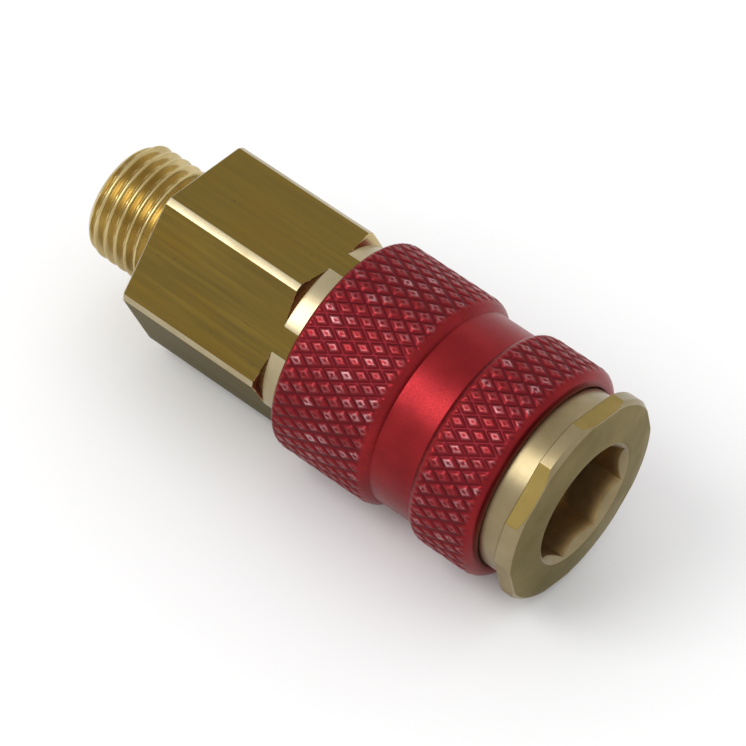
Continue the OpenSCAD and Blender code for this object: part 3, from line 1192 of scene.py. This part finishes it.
@dataclass
class KeyRing:
    """The flanged ring at the mouth: six milled flats outside, an eight-sided key inside."""

    radius: float = 11.584
    thickness: float = 2.35
    flats: float = 22.108
    flats_turn: float = -7.0
    rim_chamfer: float = 0.4
    rear_edge: float = 0.08
    front_edge: float = 0.05
    face_cone: float = 0.5
    mouth_flats: float = 12.6
    mouth_turn: float = 31.5
    mouth_depth: float = 5.0
    lead_in: float = 0.7
    bore_radius: float = 5.6
    spigot_radius: float = 8.3
    spigot_length: float = 4.57
    spigot_edge: float = 0.1
    points_around: int = 288

    def build(self) -> Piece:
        """Build, dress and settle the ring.

        Returns:
            The key ring.
        """
        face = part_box("key_ring")[1].x / MM
        turn = math.pi / 2 + math.radians(self.flats_turn)
        reach = math.acos(self.flats / 2 / self.radius)
        rim_marks = [turn + k * TURN / HEX_CORNERS + side * reach
                     for k in range(HEX_CORNERS) for side in (-1, 1)]
        first = math.radians(self.mouth_turn)
        corners = [first + k * TURN / MOUTH_CORNERS for k in range(MOUTH_CORNERS)]
        stack = RingStack(angles_with(self.points_around, rim_marks + corners))
        rim = soft_min(polygon_radius(stack.angles, self.flats, HEX_CORNERS, turn),
                       np.full_like(stack.angles, self.radius), soft=0.015)
        flat_middle = first + TURN / MOUTH_CORNERS / 2
        key = polygon_radius(stack.angles, self.mouth_flats, MOUTH_CORNERS, flat_middle)
        self.add_flange(stack, face, rim)
        self.add_mouth(stack, face, key)
        piece = stack.build("mouth_ring")
        self.mark_flats(piece, turn, reach, face - self.thickness)
        dress(piece, [TurnedBrass(), MilledBrass(), KeyedBrass(), ShadedFaceBrass()])
        settle(piece, Body.HOUSING, "key_ring")
        return piece

    def add_flange(self, stack: RingStack, face: float, rim: Array) -> None:
        """Add the rings of the spigot, the rim and the flange's front face.

        Args:
            stack: the ring's rings.
            face: station of the mouth.
            rim: radius of the flange at each angle.
        """
        turned, faced = RingSkin.TURNED, RingSkin.FACED
        back = face - self.thickness
        tail = back - self.spigot_length
        for x, r in ((tail, self.bore_radius), (tail, self.spigot_radius - self.spigot_edge),
                     (tail + self.spigot_edge, self.spigot_radius), (back, self.spigot_radius),
                     (back, rim - self.rear_edge), (back + self.rear_edge, rim)):
            stack.ring(x, r, turned)
        height = self.front(face, rim) - back - (self.rear_edge + self.front_edge)
        for share in (0.5, 0.97, 1.0):
            stack.ring(back + self.rear_edge + height * share, rim, turned)
        edge = np.minimum(self.radius - self.rim_chamfer, rim - 0.1)
        inner = self.mouth_flats / 2 + self.lead_in + 0.05
        for radius, skin in ((rim - self.front_edge, turned), (edge + 0.03, turned), (edge - 0.03, faced)):
            stack.ring(self.front(face, radius), radius, skin)
        for share in (0.3, 0.6, 0.9, 1.0):
            radius = edge + (inner - edge) * share
            stack.ring(self.front(face, radius), radius, faced if share < 1 else turned)

    def add_mouth(self, stack: RingStack, face: float, key: Array) -> None:
        """Add the rings of the mouth's lead-in and its eight walls.

        Args:
            stack: the ring's rings.
            face: station of the mouth.
            key: radius of the eight-sided mouth at each angle.
        """
        turned, keyed = RingSkin.TURNED, RingSkin.KEYED
        cone = self.mouth_flats / 2 + self.lead_in
        meet = face - (cone - key)
        floor = face - self.mouth_depth
        stack.ring(face - 0.04, cone - 0.03, turned)
        stack.ring(meet + 0.04, key + 0.04, turned)
        stack.ring(meet - 0.05, key, keyed)
        for share in (0.33, 0.66, 1.0):
            stack.ring(meet + (floor - meet) * share, key, keyed)
        stack.ring(floor, self.bore_radius + 0.1, keyed)
        stack.ring(floor - 0.1, self.bore_radius, keyed)

    def front(self, face: float, radius: Array) -> Array:
        """Station of the flange's front at a radius: a low cone, then a chamfer at the rim.

        Args:
            face: station of the mouth.
            radius: distance from the axis.

        Returns:
            The station at each radius.
        """
        edge = self.radius - self.rim_chamfer
        inner = self.mouth_flats / 2 + self.lead_in
        on_cone = face - (radius - inner) * self.face_cone / (edge - inner)
        return np.minimum(on_cone, face - self.face_cone - (radius - edge))

    def mark_flats(self, piece: Piece, turn: float, reach: float, back: float) -> None:
        """Give the milled flats their own finish.

        Args:
            piece: the ring.
            turn: direction of one flat's middle, in radians.
            reach: half of the angle that a flat spans.
            back: station of the flange's rear face.
        """
        sector = TURN / HEX_CORNERS
        for face in piece.data.polygons:
            centre = face.center / MM
            angle = math.atan2(centre.z, centre.y)
            away = abs((angle - turn + sector / 2) % sector - sector / 2)
            radius = math.hypot(centre.y, centre.z)
            on_rim = radius > self.flats / 2 - 0.06 and centre.x > back + 0.04
            if on_rim and away < reach and abs(face.normal.x) < 0.3:
                face.material_index = RingSkin.MILLED


@dataclass
class CoilSpring:
    """A helical spring with closed ends, wound around the axis."""

    node: str
    joint: str
    coil_radius: float
    wire: float
    turns: float
    travel: float
    tip: float = 0.4
    steps: int = 40
    sides: int = 16

    def station(self, turn: float, length: float) -> float:
        """Station of the wire's middle after some turns.

        Args:
            turn: turns from the start.
            length: length of the spring.

        Returns:
            Distance from the spring's start.
        """
        closed = self.wire * 1.03
        middle = (length - self.wire - 2 * closed) / (self.turns - 2)
        if turn < 1:
            along = closed * turn
        elif turn > self.turns - 1:
            along = length - self.wire - closed * (self.turns - turn)
        else:
            along = closed + middle * (turn - 1)
        return along + self.wire / 2

    def build(self) -> Piece:
        """Wind, dress and settle the spring.

        Returns:
            The spring.
        """
        low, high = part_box(self.node)
        start, length = low.x / MM, (high.x - low.x) / MM
        count = round(self.turns * self.steps)
        points: list[Vector] = []
        for step in range(count + 1):
            turn = step / self.steps
            angle = TURN * turn
            taper = min(1.0, self.tip + 1.2 * min(step, count - step) / self.steps)
            for side in range(self.sides):
                lean = TURN * side / self.sides
                radius = self.coil_radius + self.wire / 2 * math.cos(lean) * taper
                x = start + self.station(turn, length) + self.wire / 2 * math.sin(lean) * taper
                points.append(Vector((x, radius * math.cos(angle), radius * math.sin(angle))) * MM)
        faces: list[tuple[int, ...]] = [tuple(range(self.sides)),
                                        tuple(count * self.sides + s for s in range(self.sides))]
        for step in range(count):
            for side in range(self.sides):
                beside = (side + 1) % self.sides
                here, there = step * self.sides, (step + 1) * self.sides
                faces.append((here + side, here + beside, there + beside, there + side))
        mesh = bpy.data.meshes.new(self.node)
        mesh.from_pydata(points, [], faces)
        piece = finish_mesh(mesh, f"{self.node}_coil", sharp=50)
        dress(piece, [DrawnWire()])
        settle(piece, Body.HOUSING, self.node)
        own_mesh(piece)
        return piece


@dataclass
class InnerParts:
    """The sealed inner pieces and the balls, whose solids stay as they are."""

    nodes: dict[str, Piece]
    finishes: dict[str, Finish] = field(default_factory=lambda: {
        "spring_washer": DrawnWire(), "thrust_ring": DrawnWire(), "valve_head": TurnedBrass(),
        "valve_nose": TurnedBrass(), "valve_seal": SealRubber(), "valve_guide": TurnedBrass(),
        "plug_oring": SealRubber(), "body_gasket": PressedFibre()})
    balls: int = 6

    def build(self) -> None:
        """Dress every inner piece."""
        wanted = dict(self.finishes)
        for number in range(1, self.balls + 1):
            wanted[f"locking_ball_{number}"] = PolishedSteel()
        for name, finish in wanted.items():
            piece = self.nodes[name]
            dress(piece, [finish])
            log.info("%s keeps its solid in %s", name, type(finish).__name__)


# --------------------------------------------------------------------------- studio


@dataclass(frozen=True)
class Softbox:
    """One square lamp that faces the object, placed in degrees, metres and watts."""

    name: str
    azimuth: float
    elevation: float
    size: float
    power: float
    reach: float = 0.9


@dataclass
class Studio:
    """A pale floor, soft lights and the camera."""

    azimuth: float = 32.1
    elevation: float = 45.1
    roll: float = 10.0
    distance: float = 433.0
    target: tuple[float, float, float] = (24.4, -0.7, -0.6)
    lens: float = 207.7
    sensor: float = 36.0
    floor_level: float = -12.2
    floor_size: float = 4.0
    floor_colour: Rgb = (0.92, 0.92, 0.92)
    room_light: float = 0.9
    lamps: tuple[Softbox, ...] = (Softbox("key_softbox", -32, 45, size=0.5, power=3.2),
                                  Softbox("back_softbox", 200, 30, size=0.6, power=0.3))

    def away(self, azimuth: float, elevation: float) -> Vector:
        """Direction from the object at an azimuth and an elevation, in degrees."""
        a, e = math.radians(azimuth), math.radians(elevation)
        return Vector((math.sin(a) * math.cos(e), -math.cos(a) * math.cos(e), math.sin(e)))

    def camera(self) -> None:
        """Place the camera."""
        back = self.away(self.azimuth, self.elevation)
        right = Vector((0, 0, 1)).cross(back).normalized()
        up = back.cross(right)
        roll = math.radians(self.roll)
        turned_right = right * math.cos(roll) + up * math.sin(roll)
        turned_up = back.cross(turned_right)
        data = bpy.data.cameras.new("camera")
        data.lens, data.sensor_width = self.lens, self.sensor
        data.clip_start, data.clip_end = 0.01, 20.0
        eye = put("camera", data)
        spin = Matrix((turned_right, turned_up, back)).transposed().to_4x4()
        eye.matrix_world = Matrix.Translation((Vector(self.target) + back * self.distance) * MM) @ spin
        bpy.context.scene.camera = eye

    def light(self, box: Softbox) -> None:
        """Hang one softbox.

        Args:
            box: the lamp's place, size and power.
        """
        lamp = bpy.data.lights.new(box.name, "AREA")
        lamp.shape, lamp.size, lamp.energy = "SQUARE", box.size, box.power
        holder = put(box.name, lamp)
        way = self.away(box.azimuth, box.elevation)
        holder.location = way * box.reach
        holder.rotation_euler = way.to_track_quat("Z", "Y").to_euler()

    def floor(self) -> None:
        """Lay the pale floor."""
        work = bmesh.new()
        bmesh.ops.create_grid(work, x_segments=1, y_segments=1, size=self.floor_size / 2)
        mesh = bpy.data.meshes.new("floor")
        work.to_mesh(mesh)
        work.free()
        plane = put("floor", mesh)
        plane.location.z = self.floor_level * MM
        paper = Shader("floor_paper")
        paper.set(Base_Color=self.floor_colour, Roughness=0.9)
        mesh.materials.append(paper.material)

    def world(self) -> None:
        """Fill the room with even pale light."""
        room = bpy.data.worlds.new("room")
        room.use_nodes = True
        sky = room.node_tree.nodes["Background"]
        sky.inputs["Color"].default_value = (1.0, 1.0, 1.0, 1.0)
        sky.inputs["Strength"].default_value = self.room_light
        bpy.context.scene.world = room

    def build(self) -> None:
        """Set up the whole studio."""
        self.camera()
        self.floor()
        self.world()
        for lamp in self.lamps:
            self.light(lamp)
        bpy.context.scene.view_settings.view_transform = "Standard"


def main() -> None:
    """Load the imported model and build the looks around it."""
    logging.basicConfig(level=logging.INFO, format="%(name)s: %(message)s")
    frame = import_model()
    Studio().build()
    InletAdapter().build()
    LockSleeve().build()
    SocketBody().build()
    KeyRing().build()
    CoilSpring("sleeve_spring", "sleeve_slide", coil_radius=9.39, wire=1.1, turns=4, travel=2.2).build()
    CoilSpring("valve_spring", "valve_slide", coil_radius=4.4, wire=0.8, turns=8, travel=4.0).build()
    InnerParts(frame["nodes"]).build()


if __name__ == "__main__":
    main()
